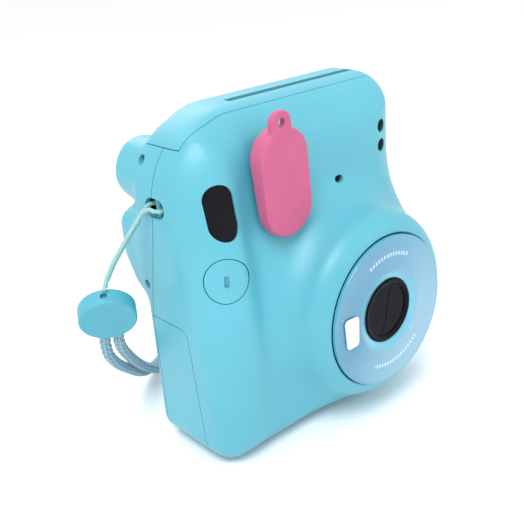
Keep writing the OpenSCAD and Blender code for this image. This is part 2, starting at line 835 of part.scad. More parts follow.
module film_door() {
    color([0.47, 0.79, 0.88]) difference() {
        union() {
            intersection() {
                shell();
                translate([door_x0, 19.9, door_z0]) cube([door_x1 - door_x0, 10, door_z1 - door_z0]);
            }
            // Hinge barrel along the edge
            translate([hinge_x, hinge_y, door_z0]) cylinder(h = door_z1 - door_z0, r = hinge_r, $fn = 48);
            translate([door_x1 - 2, 22.5, door_z0]) cube([hinge_x - door_x1 + 2, 1.6, door_z1 - door_z0]);
            // Hook for the latch
            translate([door_x0 - 1.7, 22.5, latch_z - 3]) cube([4, 1.6, 6]);
        }
        translate([hinge_x, hinge_y, door_z0 - 1]) cylinder(h = door_z1 - door_z0 + 2, r = 1.05, $fn = 32);
        for (z = knuckles) {
            translate([hinge_x, hinge_y, z - gap]) cylinder(h = knuckle_h + 2 * gap, r = 3.0, $fn = 48);
        }
        translate([18, 20, 60]) cube([9, 6, 16]);
    }
}

module door_pads() {
    color([0.12, 0.12, 0.13]) for (x = [film_x - 14, film_x + 8]) {
        translate([x, 22.0, 24]) cube([6, 0.5, 26]);
    }
}

module door_window() {
    color([0.85, 0.80, 0.35, 0.7]) translate([18.1, 22.7, 60.1]) cube([8.8, 1.6, 15.8]);
}

module door_latch() {
    color([0.42, 0.74, 0.84]) {
        translate([latch_x - 2.9, 22.8, latch_z - 5]) cube([5.6, 2.6, 12]);
        for (z = [-3, -1, 1, 3]) {
            translate([latch_x - 2.4, 25.4 - eps, latch_z + 1 + z]) cube([4.8, 0.5, 0.8]);
        }
    }
}

module door_pin() {
    color([0.72, 0.73, 0.75]) {
        translate([hinge_x, hinge_y, door_z0]) cylinder(h = door_z1 - door_z0, r = 1.0, $fn = 32);
    }
}

// ---------- strap ----------

module strap_bar() {
    color([0.47, 0.80, 0.89]) translate([bar_x, bar_y, bar_z - 5.6]) cylinder(h = 11.2, r = 1.1, $fn = 32);
}

module cover_screws() {
    color([0.78, 0.79, 0.81]) {
        translate([-53.4, side_screw_y, 63]) rotate([0, 90, 0]) {
            cylinder(h = 1.2, r = 1.45, $fn = 32);
            cylinder(h = 6, r = 0.8, $fn = 24);
        }
        translate([-48.2, side_screw_y, 106.4]) rotate([0, 90, 0]) cylinder(h = 2.4, r = 1.3, $fn = 24);
        for (x = base_screw_x) {
            translate([x, base_screw_y, 0.7]) cylinder(h = 1.3, r = 1.45, $fn = 32);
            translate([x, base_screw_y, 1]) cylinder(h = 7, r = 0.8, $fn = 24);
        }
    }
}

function unit(v) = v / norm(v);

// Tube swept along a route; no part of the route may run along the direction side
function smooth(p, k) = len(p) < 3 ? p : concat([p[0]], [for (i = [0 : len(p) - 2]) for (s = [1 : k])
    let (t = s / k, a = p[max(i - 1, 0)], b = p[i], c = p[i + 1], d = p[min(i + 2, len(p) - 1)])
    0.5 * (2 * b + (c - a) * t + (2 * a - 5 * b + 4 * c - d) * t * t + (3 * b - a - 3 * c + d) * t * t * t)]);

module tube(route, d, k, side) {
    sides = 8;
    p = smooth(route, k);
    n = len(p);
    tangents = [for (i = [0 : n - 1]) unit(p[min(i + 1, n - 1)] - p[max(i - 1, 0)])];
    pts = [for (i = [0 : n - 1]) let (t = tangents[i],
        u = unit(cross(side, t)), v = cross(t, u))
        for (j = [0 : sides - 1]) p[i] + d / 2 * (u * cos(360 * j / sides) + v * sin(360 * j / sides))];
    faces = concat([[for (j = [sides - 1 : -1 : 0]) j]],
        [for (i = [0 : n - 2]) for (j = [0 : sides - 1]) let (k2 = (j + 1) % sides)
            each [[i * sides + j, i * sides + k2, (i + 1) * sides + k2],
                [i * sides + j, (i + 1) * sides + k2, (i + 1) * sides + j]]],
        [[for (j = [0 : sides - 1]) (n - 1) * sides + j]]);
    polyhedron(pts, faces);
}

module strap_cord() {
    color([0.52, 0.84, 0.84]) tube(cord_route, cord_d, 3, [-0.6, 0.1, 0.8]);
}

module strap_band() {
    color([0.45, 0.70, 0.78]) tube(band_route, band_d, 2, [-0.5, 0.5, 0.7]);
}

module strap_disc() {
    color([0.35, 0.75, 0.86]) translate(disc_pos) rotate([0, 0, -30]) rotate([116, 0, 0])
        translate([0, 0, -disc_t / 2]) cylinder(h = disc_t, r = disc_r, $fn = 64);
}

// ---------- output ----------

front_cover();
rear_cover();
top_cover();
chassis();
dark_chamber();
lens_guide();
film_pack();
film_sheets();
drive_motor();
motor_pinion();
reduction_gear();
idler_gear();
roller_front();
roller_rear();
film_claw();
slot_flap();
counter_dial();
counter_window();
lens_barrel();
lens_ring();
lens_rim();
selfie_mirror();
front_lens();
rear_lens();
shutter_plate();
shutter_blade();
cover_blade_upper();
cover_blade_lower();
lens_spring();
viewfinder_window();
viewfinder_tunnel();
viewfinder_lens();
eyepiece_lens();
flash_window();
flash_reflector();
flash_tube();
flash_capacitor();
flash_cover();
meter_windows();
flash_sensor_window();
main_board();
batteries();
battery_contacts();
battery_cover();
shutter_button();
button_switches();
shutter_spring();
power_button();
power_spring();
film_door();
door_pads();
door_window();
door_latch();
latch_spring();
door_pin();
strap_bar();
cover_screws();
strap_cord();
strap_disc();
strap_band();
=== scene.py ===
"""Looks of the instant film camera: smooth shells, strap, materials, camera and lights.

Lengths are millimetres until a mesh is made; MM turns them into metres.
"""
import json
import math

import bmesh
import bpy
import numpy as np
from mathutils import Matrix, Vector


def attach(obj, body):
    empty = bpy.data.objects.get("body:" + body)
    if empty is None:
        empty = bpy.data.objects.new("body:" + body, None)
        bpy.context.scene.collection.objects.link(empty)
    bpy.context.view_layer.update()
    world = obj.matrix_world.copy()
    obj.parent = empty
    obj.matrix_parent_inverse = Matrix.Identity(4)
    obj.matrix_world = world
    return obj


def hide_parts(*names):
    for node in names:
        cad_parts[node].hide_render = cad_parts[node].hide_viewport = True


MM = 0.001

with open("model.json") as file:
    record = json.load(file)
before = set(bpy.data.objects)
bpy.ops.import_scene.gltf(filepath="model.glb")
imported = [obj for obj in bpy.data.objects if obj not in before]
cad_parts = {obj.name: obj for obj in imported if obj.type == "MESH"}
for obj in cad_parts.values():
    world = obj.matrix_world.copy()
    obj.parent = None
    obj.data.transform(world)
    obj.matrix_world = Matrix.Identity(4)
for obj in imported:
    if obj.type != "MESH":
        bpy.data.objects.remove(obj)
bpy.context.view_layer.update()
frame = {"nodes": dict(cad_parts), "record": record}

# ---------- driving dimensions, in the part's frame ----------

HALF_WIDTH = 53.8
HALF_HEIGHT = 60.6
CORNERS = {"top_left": 30.0, "top_right": 13.6, "base_left": 9.5, "base_right": 22.0}
BACK = 24.5
FRONT = -33.65
WALL = 2.0
GAP = 0.15
TOP_SEAM_Y, TOP_SEAM_Z = 1.2, 111.0

LENS_X, LENS_Z = 14.0, 42.5
RING_R, HOLE_R = 28.4, 12.0
FINDER_X, FINDER_Z, EYE_Z, EYE_R = -41.0, 91.0, 99.6, 11.3
FINDER_LOW, FINDER_HIGH = 87.6, 95.4
FLASH = (-16.0, -10.2, 96.0)
# The soft cap sits a little off the flash window, as in the photo
CAP_PLACE, CAP_ROLL = (-17.3, -10.6, 96.9), math.radians(-6)
BUTTON = (-48.0, -19.8, 70.0)
BUTTON_TURN = math.radians(-36)
BUTTON_R = 7.3
POWER_Y, POWER_ANGLE, POWER_RADIUS, POWER_R = -22.5, math.radians(24), 35.3, 4.0
SLOT_X, SLOT_Y, SLOT_W = 12.8, 9.0, 63.6
DOOR = (-22.0, 47.0, 8.0, 104.0)
HINGE_X, HINGE_Y, HINGE_R = 49.2, 22.2, 2.1
KNUCKLES, KNUCKLE_H = (22.0, 80.0), 8.0
LATCH_X, LATCH_Z = -27.0, 52.0
BAR_Y, BAR_Z = 7.9, 92.8
METER_X, METER_Z = 39.5, (94.4, 101.8)
PART_Y, PART_LEAN, PART_Z = 17.2, 0.219, 51.3
SIDE_SCREW_Y = 17.8

CORD_D, BAND_D = 1.5, 4.2
CORD_ROUTE = [
    (-73.1, 13.5, 69), (-71.9, 13.8, 71.1), (-70.5, 13.4, 74.1), (-68.5, 13, 77.3),
    (-66.1, 12.6, 80.2), (-63.7, 12.3, 83), (-61.2, 12, 85.7), (-58.4, 11.6, 88.6), (-56.2, 11, 91.2),
    (-55, 8.6, 92.6), (-54.6, 6.2, 92.4), (-52.9, 4.6, 92.2), (-50.6, 5.3, 92.4), (-49.1, 7.9, 92.8),
    (-50.4, 10.6, 93.2), (-52.8, 11.4, 93.2), (-55.4, 12.5, 90.6), (-57.6, 12.8, 87.4),
    (-60.3, 13, 84.6), (-62.8, 13.2, 82), (-65.2, 13.5, 79.2), (-67.6, 13.8, 76.3),
    (-69.6, 14.2, 73.1), (-71.3, 14.4, 70.6), (-71.8, 14.3, 69.2),
]
BAND_ROUTE = [
    (-71.2, 21.9, 49.5), (-70.6, 23.6, 44.8), (-68.7, 26.4, 38.4), (-63.1, 32, 29.9),
    (-54.7, 40, 20.7), (-44.3, 49, 10.6), (-34, 57.5, 4.6), (-22, 65.5, 2.3), (-8, 71, 2.2),
    (8, 73.5, 2.2), (23, 71.5, 2.2), (32, 64, 2.2), (30, 55, 2.2), (18, 51.5, 2.2), (3, 52.5, 2.2),
    (-11, 55.5, 2.2), (-22, 56, 2.5), (-32.4, 52.5, 5.4), (-43.9, 45, 14.4), (-53.4, 36, 25),
    (-60.3, 28.5, 34), (-65, 23.2, 41.2), (-66.8, 20.6, 46), (-67.2, 19.6, 49.5),
]
DISC = (-71.4, 17.0, 58.5)
DISC_R, DISC_T, DISC_TURN, DISC_TILT = 9.8, 6.2, math.radians(-30), math.radians(26)


# ---------- camera and lights ----------

def add_camera():
    data = bpy.data.cameras.new("camera")
    data.sensor_width = 36
    data.lens = 54.37
    camera = bpy.data.objects.new("camera", data)
    camera.location = (-0.18353, -0.1991, 0.17575)
    camera.rotation_euler = [math.radians(a) for a in (66.521, 4.268, -41.837)]
    bpy.context.scene.collection.objects.link(camera)
    bpy.context.scene.camera = camera


def add_area_light(name, place, target, size, power, colour):
    data = bpy.data.lights.new(name, "AREA")
    data.shape = "DISK"
    data.size = size
    data.energy = power
    data.color = colour
    lamp = bpy.data.objects.new(name, data)
    lamp.location = place
    aim = Vector(target) - Vector(place)
    lamp.rotation_euler = aim.to_track_quat("-Z", "Y").to_euler()
    bpy.context.scene.collection.objects.link(lamp)


def add_world():
    world = bpy.data.worlds.new("studio")
    world.use_nodes = True
    background = world.node_tree.nodes["Background"]
    background.inputs["Color"].default_value = (1.0, 1.0, 1.0, 1)
    background.inputs["Strength"].default_value = 1.0
    bpy.context.scene.world = world


add_camera()
add_world()
add_area_light("key", (-0.42, -0.30, 0.85), (0, 0, 0.06), 0.5, 5.2, (1.0, 0.99, 0.98))
add_area_light("front", (0.35, -0.7, 0.5), (0, 0, 0.06), 0.5, 0.5, (0.97, 0.99, 1.0))
add_area_light("back", (0.2, 0.6, 0.6), (0, 0, 0.05), 0.6, 1.6, (1.0, 1.0, 1.0))
bpy.context.scene.view_settings.view_transform = "Standard"


# ---------- materials ----------

class Shader:
    """A Principled material with short helpers for its procedural nodes, all in object space."""

    def __init__(self, name, roughness=0.5, **settings):
        self.material = bpy.data.materials.new(name)
        self.material.use_nodes = True
        self.tree = self.material.node_tree
        self.surface = self.tree.nodes["Principled BSDF"]
        self.surface.inputs["Roughness"].default_value = roughness
        for key, value in settings.items():
            self.surface.inputs[key.replace("_", " ")].default_value = value
        self.place = self.tree.nodes.new("ShaderNodeTexCoord").outputs["Object"]
        self.height = None

    def link(self, source, target):
        self.tree.links.new(source, target)

    def noise(self, scale, detail=2.0, rough=0.5, stretch=None):
        node = self.tree.nodes.new("ShaderNodeTexNoise")
        node.inputs["Scale"].default_value = scale
        node.inputs["Detail"].default_value = detail
        node.inputs["Roughness"].default_value = rough
        place = self.place
        if stretch:
            mapping = self.tree.nodes.new("ShaderNodeMapping")
            mapping.inputs["Scale"].default_value = stretch
            self.link(place, mapping.inputs["Vector"])
            place = mapping.outputs["Vector"]
        self.link(place, node.inputs["Vector"])
        return node.outputs["Fac"]

    def cells(self, scale):
        node = self.tree.nodes.new("ShaderNodeTexVoronoi")
        node.inputs["Scale"].default_value = scale
        self.link(self.place, node.inputs["Vector"])
        return node.outputs["Distance"]

    def ramp(self, source, stops):
        node = self.tree.nodes.new("ShaderNodeValToRGB")
        first, last = node.color_ramp.elements
        first.position, first.color = stops[0][0], (*stops[0][1], 1)
        last.position, last.color = stops[-1][0], (*stops[-1][1], 1)
        for position, colour in stops[1:-1]:
            node.color_ramp.elements.new(position).color = (*colour, 1)
        self.link(source, node.inputs["Fac"])
        return node.outputs["Color"]

    def remap(self, source, low, high, start=0.3, end=0.7):
        node = self.tree.nodes.new("ShaderNodeMapRange")
        for key, value in zip(("From Min", "From Max", "To Min", "To Max"), (start, end, low, high)):
            node.inputs[key].default_value = value
        self.link(source, node.inputs["Value"])
        return node.outputs["Result"]

    def math(self, operation, a, b=0.0, c=0.0):
        node = self.tree.nodes.new("ShaderNodeMath")
        node.operation = operation
        for socket, value in zip(node.inputs, (a, b, c)):
            if hasattr(value, "links"):
                self.link(value, socket)
            else:
                socket.default_value = value
        return node.outputs[0]

    def mix(self, factor, a, b):
        node = self.tree.nodes.new("ShaderNodeMix")
        node.data_type = "RGBA"
        self.link(factor, node.inputs["Factor"])
        for key, value in ((6, a), (7, b)):
            if hasattr(value, "links"):
                self.link(value, node.inputs[key])
            else:
                node.inputs[key].default_value = (*value, 1)
        return node.outputs[2]

    def axes(self):
        node = self.tree.nodes.new("ShaderNodeSeparateXYZ")
        self.link(self.place, node.inputs[0])
        return node.outputs

    def colour(self, source):
        self.link(source, self.surface.inputs["Base Color"])

    def roughness(self, source):
        self.link(source, self.surface.inputs["Roughness"])

    def bump(self, height, distance, strength=1.0):
        node = self.tree.nodes.new("ShaderNodeBump")
        node.inputs["Distance"].default_value = distance
        node.inputs["Strength"].default_value = strength
        self.link(height, node.inputs["Height"])
        if self.height:
            self.link(self.height, node.inputs["Normal"])
        self.height = node.outputs["Normal"]
        self.link(self.height, self.surface.inputs["Normal"])


def tint(colour, factor):
    return tuple(min(1.0, c * factor) for c in colour)


def moulded(name, colour, roughness, grain=0.00003, spread=0.05, **settings):
    """Moulded plastic: fine spark grain, soft colour drift and slight polish where it is handled."""
    s = Shader(name, roughness, **settings)
    drift = s.noise(22, 3)
    s.colour(s.ramp(drift, [(0.3, tint(colour, 1 - spread)), (0.7, tint(colour, 1 + spread))]))
    s.roughness(s.remap(s.noise(60, 4), roughness - 0.05, roughness + 0.06))
    s.bump(s.noise(5200, 2, 0.6), grain, 0.5)
    s.bump(s.cells(2600), grain * 0.7, 0.35)
    return s.material


def gloss_black(name, colour=(0.006, 0.006, 0.008)):
    s = Shader(name, 0.06, Specular_IOR_Level=0.05)
    s.colour(s.ramp(s.noise(40, 2), [(0.3, colour), (0.7, tint(colour, 1.8))]))
    s.roughness(s.remap(s.noise(140, 5), 0.04, 0.10))
    s.bump(s.noise(90, 2), 0.00002, 0.3)
    return s.material


def metal(name, colour, roughness, stretch):
    s = Shader(name, roughness, Metallic=1.0)
    lines = s.noise(900, 3, 0.6, stretch)
    s.colour(s.ramp(lines, [(0.3, tint(colour, 0.9)), (0.7, tint(colour, 1.06))]))
    s.roughness(s.remap(lines, roughness - 0.07, roughness + 0.08))
    s.bump(lines, 0.00002, 0.35)
    return s.material


def glass(name, colour, alpha_weight):
    s = Shader(name, 0.03, IOR=1.5, Coat_Weight=0.4, Coat_Roughness=0.02)
    s.surface.inputs["Transmission Weight"].default_value = alpha_weight
    s.colour(s.ramp(s.noise(30, 2), [(0.35, tint(colour, 0.96)), (0.65, tint(colour, 1.03))]))
    s.roughness(s.remap(s.noise(220, 4), 0.02, 0.06))
    return s.material


def silicone():
    pink = (0.50, 0.088, 0.205)
    s = Shader("pink silicone", 0.62, Sheen_Weight=0.12, Sheen_Roughness=0.5)
    s.colour(s.ramp(s.noise(35, 3), [(0.3, tint(pink, 0.94)), (0.7, tint(pink, 1.06))]))
    s.roughness(s.remap(s.noise(130, 5), 0.55, 0.68))
    s.bump(s.noise(3800, 3, 0.6), 0.00004, 0.5)
    return s.material


def pearl_ring():
    """Pearly ring: radial sheen, a fine turned grain and rows of small plain marks, with painted highlight
    towards the right, the lower right and the inner lip.
    """
    base, light = (0.070, 0.25, 0.39), (0.090, 0.285, 0.43)
    s = Shader("pearl ring", 0.28, Coat_Weight=0.35, Coat_Roughness=0.12)
    x, y, z = s.axes()
    dx = s.math("SUBTRACT", x, LENS_X * MM)
    dz = s.math("SUBTRACT", z, LENS_Z * MM)
    radius = s.math("MULTIPLY", s.math("SQRT", s.math("ADD", s.math("MULTIPLY", dx, dx),
                    s.math("MULTIPLY", dz, dz))), 1000.0)
    angle = s.math("ARCTAN2", dz, dx)
    shade = s.mix(s.remap(s.noise(35, 3), 0.0, 1.0), base, light)
    # painted highlight: the ring's colour is lightened towards its right side and its lower right
    painted_highlight = s.remap(s.math("SUBTRACT", dx, dz), 0.0, 1.0, -0.012, 0.036)
    shade = s.mix(s.remap(dx, 0.0, 0.5, -0.020, 0.022), shade, (0.16, 0.40, 0.56))
    shade = s.mix(painted_highlight, shade, (0.24, 0.45, 0.58))
    # painted highlight: lighter, more cyan colour on the inner lip by the hole
    inner = s.remap(radius, 1.0, 0.0, 13.5, 16.0)
    shade = s.mix(inner, shade, (0.13, 0.47, 0.60))
    outer = s.remap(radius, 0.0, 1.0, 27.0, 28.4)
    shade = s.mix(outer, shade, (0.08, 0.34, 0.47))
    band = s.math("MULTIPLY", s.math("GREATER_THAN", radius, 20.9), s.math("LESS_THAN", radius, 22.3))
    dash = s.math("GREATER_THAN", s.math("SINE", s.math("MULTIPLY", angle, 88.0)), -0.1)
    upper = s.math("COMPARE", angle, 1.55, 0.5)
    lower = s.math("COMPARE", angle, -1.40, 0.58)
    marks = s.math("MULTIPLY", s.math("MULTIPLY", band, dash), s.math("MAXIMUM", upper, lower))
    shade = s.mix(s.math("MULTIPLY", marks, 0.6), shade, (0.75, 0.85, 0.92))
    s.colour(shade)
    s.roughness(s.remap(s.noise(180, 4), 0.22, 0.34))
    s.bump(s.math("SINE", s.math("MULTIPLY", radius, 24.0)), 0.000006, 0.4)
    s.bump(s.noise(3000, 2), 0.00001, 0.3)
    return s.material


def mirror_face():
    s = Shader("selfie mirror", 0.04, Metallic=1.0)
    s.colour(s.ramp(s.noise(50, 2), [(0.3, (0.90, 0.93, 0.95)), (0.7, (0.97, 0.98, 0.99))]))
    s.roughness(s.remap(s.noise(260, 4), 0.03, 0.08))
    return s.material


def woven(name, first, second, pitch, around):
    """Braided cord: two families of strands from the piece's own UV (turns round, length in metres)."""
    s = Shader(name, 0.8, Sheen_Weight=0.4, Sheen_Roughness=0.5)
    uv = s.tree.nodes.new("ShaderNodeUVMap")
    uv.uv_map = "braid"
    split = s.tree.nodes.new("ShaderNodeSeparateXYZ")
    s.link(uv.outputs["UV"], split.inputs[0])
    turn = s.math("MULTIPLY", split.outputs[0], float(around))
    run = s.math("MULTIPLY", split.outputs[1], 1.0 / pitch)
    left = s.math("SINE", s.math("MULTIPLY", s.math("ADD", turn, run), math.tau))
    right = s.math("SINE", s.math("MULTIPLY", s.math("SUBTRACT", turn, run), math.tau))
    weave = s.math("MULTIPLY", left, right)
    shade = s.mix(s.remap(weave, 0.0, 1.0, -0.5, 0.5), first, second)
    shade = s.mix(s.remap(s.noise(1500, 3), 0.0, 0.35), shade, tint(second, 0.6))
    s.colour(shade)
    s.roughness(s.remap(s.noise(700, 2), 0.72, 0.9))
    s.bump(weave, 0.00025, 0.7)
    s.bump(s.noise(6000, 2, 0.7, (1, 1, 0.3)), 0.00006, 0.6)
    return s.material


def board_green():
    s = Shader("circuit board", 0.35, Coat_Weight=0.3, Coat_Roughness=0.15)
    x, y, z = s.axes()
    track = s.math("GREATER_THAN", s.math("SINE", s.math("MULTIPLY", x, 2600.0)), 0.6)
    cross = s.math("GREATER_THAN", s.math("SINE", s.math("MULTIPLY", z, 2100.0)), 0.75)
    filled = s.remap(s.noise(90, 1), 0.0, 1.0, 0.45, 0.5)
    copper = s.math("MULTIPLY", s.math("MAXIMUM", track, cross), filled)
    s.colour(s.mix(copper, (0.02, 0.13, 0.06), (0.08, 0.33, 0.14)))
    s.bump(copper, 0.00003, 0.5)
    return s.material


def battery_can():
    s = Shader("battery can", 0.32, Metallic=0.4)
    z = s.axes()[2]
    band = s.remap(z, 0.0, 1.0, 0.0438, 0.0442)
    s.colour(s.mix(band, (0.52, 0.53, 0.52), (0.09, 0.10, 0.11)))
    s.roughness(s.remap(s.noise(160, 4), 0.26, 0.4))
    s.bump(s.noise(900, 2), 0.00002, 0.3)
    return s.material


SKY = (0.085, 0.400, 0.505)
PALETTE = {
    "body": moulded("sky blue plastic", SKY, 0.42, Coat_Weight=0.25, Coat_Roughness=0.38),
    "body_dark": moulded("deeper blue plastic", (0.07, 0.35, 0.46), 0.45),
    "black_plastic": moulded("black plastic", (0.012, 0.012, 0.014), 0.55, 0.00005, 0.25),
    "black_gloss": gloss_black("gloss black"),
    "film": moulded("film sheet", (0.82, 0.82, 0.79), 0.4, 0.00002, 0.03),
    "steel": metal("turned steel", (0.56, 0.57, 0.59), 0.3, (0.1, 1, 1)),
    "spring_steel": metal("spring wire", (0.62, 0.63, 0.65), 0.26, (1, 1, 0.2)),
    "chrome": metal("reflector chrome", (0.85, 0.86, 0.88), 0.12, (1, 1, 0.3)),
    "brass": metal("brass", (0.72, 0.50, 0.19), 0.3, (0.1, 1, 1)),
    "gear_plastic": moulded("acetal", (0.78, 0.75, 0.66), 0.4, 0.00002, 0.04),
    "white_plastic": moulded("white plastic", (0.75, 0.80, 0.83), 0.35, 0.00002, 0.03),
    "clear": glass("clear window", (0.90, 0.93, 0.94), 0.85),
    "lens_glass": glass("lens glass", (0.80, 0.88, 0.94), 0.9),
    "ring": pearl_ring(),
    "mirror": mirror_face(),
    "pink_rubber": silicone(),
    "black_rubber": moulded("foam rubber", (0.015, 0.015, 0.016), 0.85, 0.00012, 0.3),
    "board": board_green(),
    "battery": battery_can(),
    "cord": woven("thin cord", (0.24, 0.56, 0.57), (0.38, 0.72, 0.71), 0.0011, 3),
    "strap": woven("braided strap", (0.09, 0.25, 0.33), (0.27, 0.47, 0.56), 0.0030, 4),
    "strap_plastic": moulded("strap disc plastic", (0.075, 0.365, 0.475), 0.5, 0.00004, 0.05),
}
SLOT_OF = {part["node"]: part["material_slot"] for part in frame["record"]["subparts"]}


def finish_piece(piece, node, body=None, slot=None):
    """Gives a piece its material and lets it stand for a CAD node."""
    name = slot or SLOT_OF[node]
    piece.data.materials.clear()
    piece.data.materials.append(PALETTE[name])
    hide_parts(node)
    if body is None:
        body = next(b for b, nodes in frame["record"]["behaviour"]["bodies"].items() if node in nodes)
    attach(piece, body)
    return piece


# ---------- signed distance of the body ----------

def smooth_min(a, b, k):
    h = np.clip(0.5 + 0.5 * (b - a) / k, 0, 1)
    return b + (a - b) * h - k * h * (1 - h)


def smooth_max(a, b, k):
    return -smooth_min(-a, -b, k)


def rounded_edge(a, b, r):
    """Intersection of two distances with an edge of radius r."""
    qa, qb = a + r, b + r
    return np.minimum(np.maximum(qa, qb), 0) + np.hypot(np.maximum(qa, 0), np.maximum(qb, 0)) - r


def corner_box(x, z, half_x, half_z, top_left, top_right, base_left, base_right):
    r = np.where(x < 0, np.where(z > 0, top_left, base_left), np.where(z > 0, top_right, base_right))
    return rounded_edge(np.abs(x) - half_x, np.abs(z) - half_z, r)


def ease(v, start, end):
    t = np.clip((v - start) / (end - start), 0, 1)
    return t * t * (3 - 2 * t)


def slab_distance(outline, x, y, z):
    """Main block: full depth at the base, recessed and well rounded towards the top."""
    t = ease(z, 36, 92)
    front = -18.1 + 9.1 * t
    edge = 10.7 + 8.4 * t
    back = BACK - 2.8 * ease(-x, 23, 44)
    return rounded_edge(rounded_edge(outline, front - y, edge), y - back, 8.0)


def grip_distance(outline, x, y, z):
    front = -18.3 + 6.8 * ease(z, 66, 104)
    side = rounded_edge(x + 31.7, front - y, 10.0)
    return np.maximum(rounded_edge(outline, side, 19.6), y - 18)


def hump_distance(outline, x, y, z):
    """Round lens housing, a cone that widens towards the body."""
    slope = 0.22
    depth = y + 32.0
    flank = (np.hypot(x - LENS_X, z - LENS_Z - 0.4) - 33.8 - slope * depth) / math.hypot(1, slope)
    hump = rounded_edge(outline, rounded_edge(flank, -depth, 6.9), 4.0)
    return np.maximum(hump, y - 10)


def eyepiece_distance(x, y, z):
    tube = rounded_edge(np.hypot(x - FINDER_X, z - EYE_Z) - EYE_R, y + FRONT, 3.6)
    return np.maximum(tube, 12 - y)


def thumb_rest_distance(x, y, z):
    pad = corner_box(x + 44, z - 72, 9.6, 15.4, 6, 6, 6, 6)
    depth = 33.4 - 0.55 * np.maximum(0, 71 - z)
    return np.maximum(rounded_edge(pad, y - depth, 4.5), 12 - y)


def body_distance(p):
    x, y, z = p[..., 0], p[..., 1], p[..., 2]
    outline = corner_box(x, z - HALF_HEIGHT, HALF_WIDTH, HALF_HEIGHT, **CORNERS)
    d = smooth_min(slab_distance(outline, x, y, z), grip_distance(outline, x, y, z), 6.0)
    d = smooth_min(d, hump_distance(outline, x, y, z), 11.4)
    d = smooth_min(d, eyepiece_distance(x, y, z), 2.5)
    d = smooth_min(d, thumb_rest_distance(x, y, z), 5.0)
    return smooth_max(d, outline, 1.5)


def stadium_distance(x, z, low, high, r):
    return np.hypot(x, z - np.clip(z, low, high)) - r


def flash_cap_distance(p):
    """Soft cap in the flash's own frame: a rounded stadium plate, its lug and the lug's hole."""
    x, y, z = p[..., 0], p[..., 1], p[..., 2]
    front = -6.9 - 0.06 * z
    plate = rounded_edge(stadium_distance(x, z, -9.4, 7.8, 10.3), np.maximum(y + 1.1, front - y), 0.9)
    lug = rounded_edge(stadium_distance(x, z, 10, 19.8, 4.2), np.abs(y - front - 1.5) - 1.4, 0.7)
    hole = np.hypot(x, z - 20.0) - 1.5
    d = smooth_max(smooth_min(plate, lug, 0.8), -hole, 0.5)
    pocket = np.maximum(stadium_distance(x, z, -7.4, 7.4, 7.4), -3.8 - y)
    return np.maximum(d, -pocket)


# ---------- meshes ----------

def settle(distance, points, rounds=4):
    """Moves points along the gradient until they lie on the surface."""
    step = 0.05
    for _ in range(rounds):
        d = distance(points)
        g = np.stack([distance(points + step * axis) - distance(points - step * axis)
                      for axis in np.eye(3)], -1) / (2 * step)
        points = points - (d / np.maximum((g * g).sum(-1), 0.2))[:, None] * g
    return points


def surface_of(distance, low, high, pitch):
    """Closed quad mesh of the zero level of a distance, one vertex for each mixed cell of a grid."""
    axes = [np.arange(low[i], high[i] + pitch, pitch) for i in range(3)]
    inside = distance(np.stack(np.meshgrid(*axes, indexing="ij"), -1)) < 0
    count = sum(inside[a:a - 1 or None, b:b - 1 or None, c:c - 1 or None].astype(int)
                for a in (0, 1) for b in (0, 1) for c in (0, 1))
    mixed = (count > 0) & (count < 8)
    index = np.full(mixed.shape, -1)
    index[mixed] = np.arange(mixed.sum())
    points = (np.argwhere(mixed) + 0.5) * pitch + np.array(low)
    quads = []
    for axis in range(3):
        full, cell = np.moveaxis(inside, axis, 0), np.moveaxis(index, axis, 0)
        i, j, k = np.nonzero(full[:-1, 1:-1, 1:-1] != full[1:, 1:-1, 1:-1])
        quad = np.stack([cell[i, j, k], cell[i, j + 1, k], cell[i, j + 1, k + 1], cell[i, j, k + 1]], -1)
        turned = full[i, j + 1, k + 1] == (axis == 1)
        quad[turned] = quad[turned, ::-1]
        quads.append(quad)
    quads = np.concatenate(quads)
    points = settle(distance, points)
    for _ in range(2):
        points = settle(distance, relaxed(points, quads), 2)
    return points, quads


def relaxed(points, quads):
    """Each point moves to the mean of its neighbours along the quads' sides."""
    total = np.zeros_like(points)
    number = np.zeros(len(points))
    for a, b in ((0, 1), (1, 2), (2, 3), (3, 0)):
        for here, there in ((quads[:, a], quads[:, b]), (quads[:, b], quads[:, a])):
            np.add.at(total, here, points[there])
            np.add.at(number, here, 1)
    return 0.5 * points + 0.5 * total / number[:, None]


def piece_from(name, points, faces):
    """A mesh object from points in millimetres."""
    mesh = bpy.data.meshes.new(name)
    mesh.from_pydata((np.asarray(points) * MM).tolist(), [], np.asarray(faces).tolist()
                     if isinstance(faces, np.ndarray) else faces)
    mesh.update()
    piece = bpy.data.objects.new(name, mesh)
    bpy.context.scene.collection.objects.link(piece)
    return piece


def shade(piece, angle=32):
    piece.data.shade_smooth()
    piece.data.set_sharp_from_angle(angle=math.radians(angle))
    return piece


def shaped(source, name, cutters):
    """A copy of source after a row of booleans: each cutter is (operation, object)."""
    piece = bpy.data.objects.new(name, source.data.copy())
    bpy.context.scene.collection.objects.link(piece)
    for operation, cutter in cutters:
        step = piece.modifiers.new("cut", "BOOLEAN")
        step.operation, step.object, step.solver = operation, cutter, "MANIFOLD"
    bpy.context.view_layer.update()
    made = bpy.data.meshes.new_from_object(piece.evaluated_get(bpy.context.evaluated_depsgraph_get()))
    piece.modifiers.clear()
    piece.data = made
    made.name = name
    return piece


def extrusion(name, outline, axis, start, end):
    """Prism of an outline. Along x the outline is (y, z), along y it is (x, z), along z it is (x, y)."""
    def point(u, v, w):
        return {"x": (w, u, v), "y": (u, w, v), "z": (u, v, w)}[axis]
    n = len(outline)
    points = [point(u, v, start) for u, v in outline] + [point(u, v, end) for u, v in outline]
    faces = [list(range(n))[::-1], list(range(n, 2 * n))]
    faces += [[i, (i + 1) % n, n + (i + 1) % n, n + i] for i in range(n)]
    if axis == "y":
        faces = [f[::-1] for f in faces]
    return oriented(piece_from(name, points, faces))


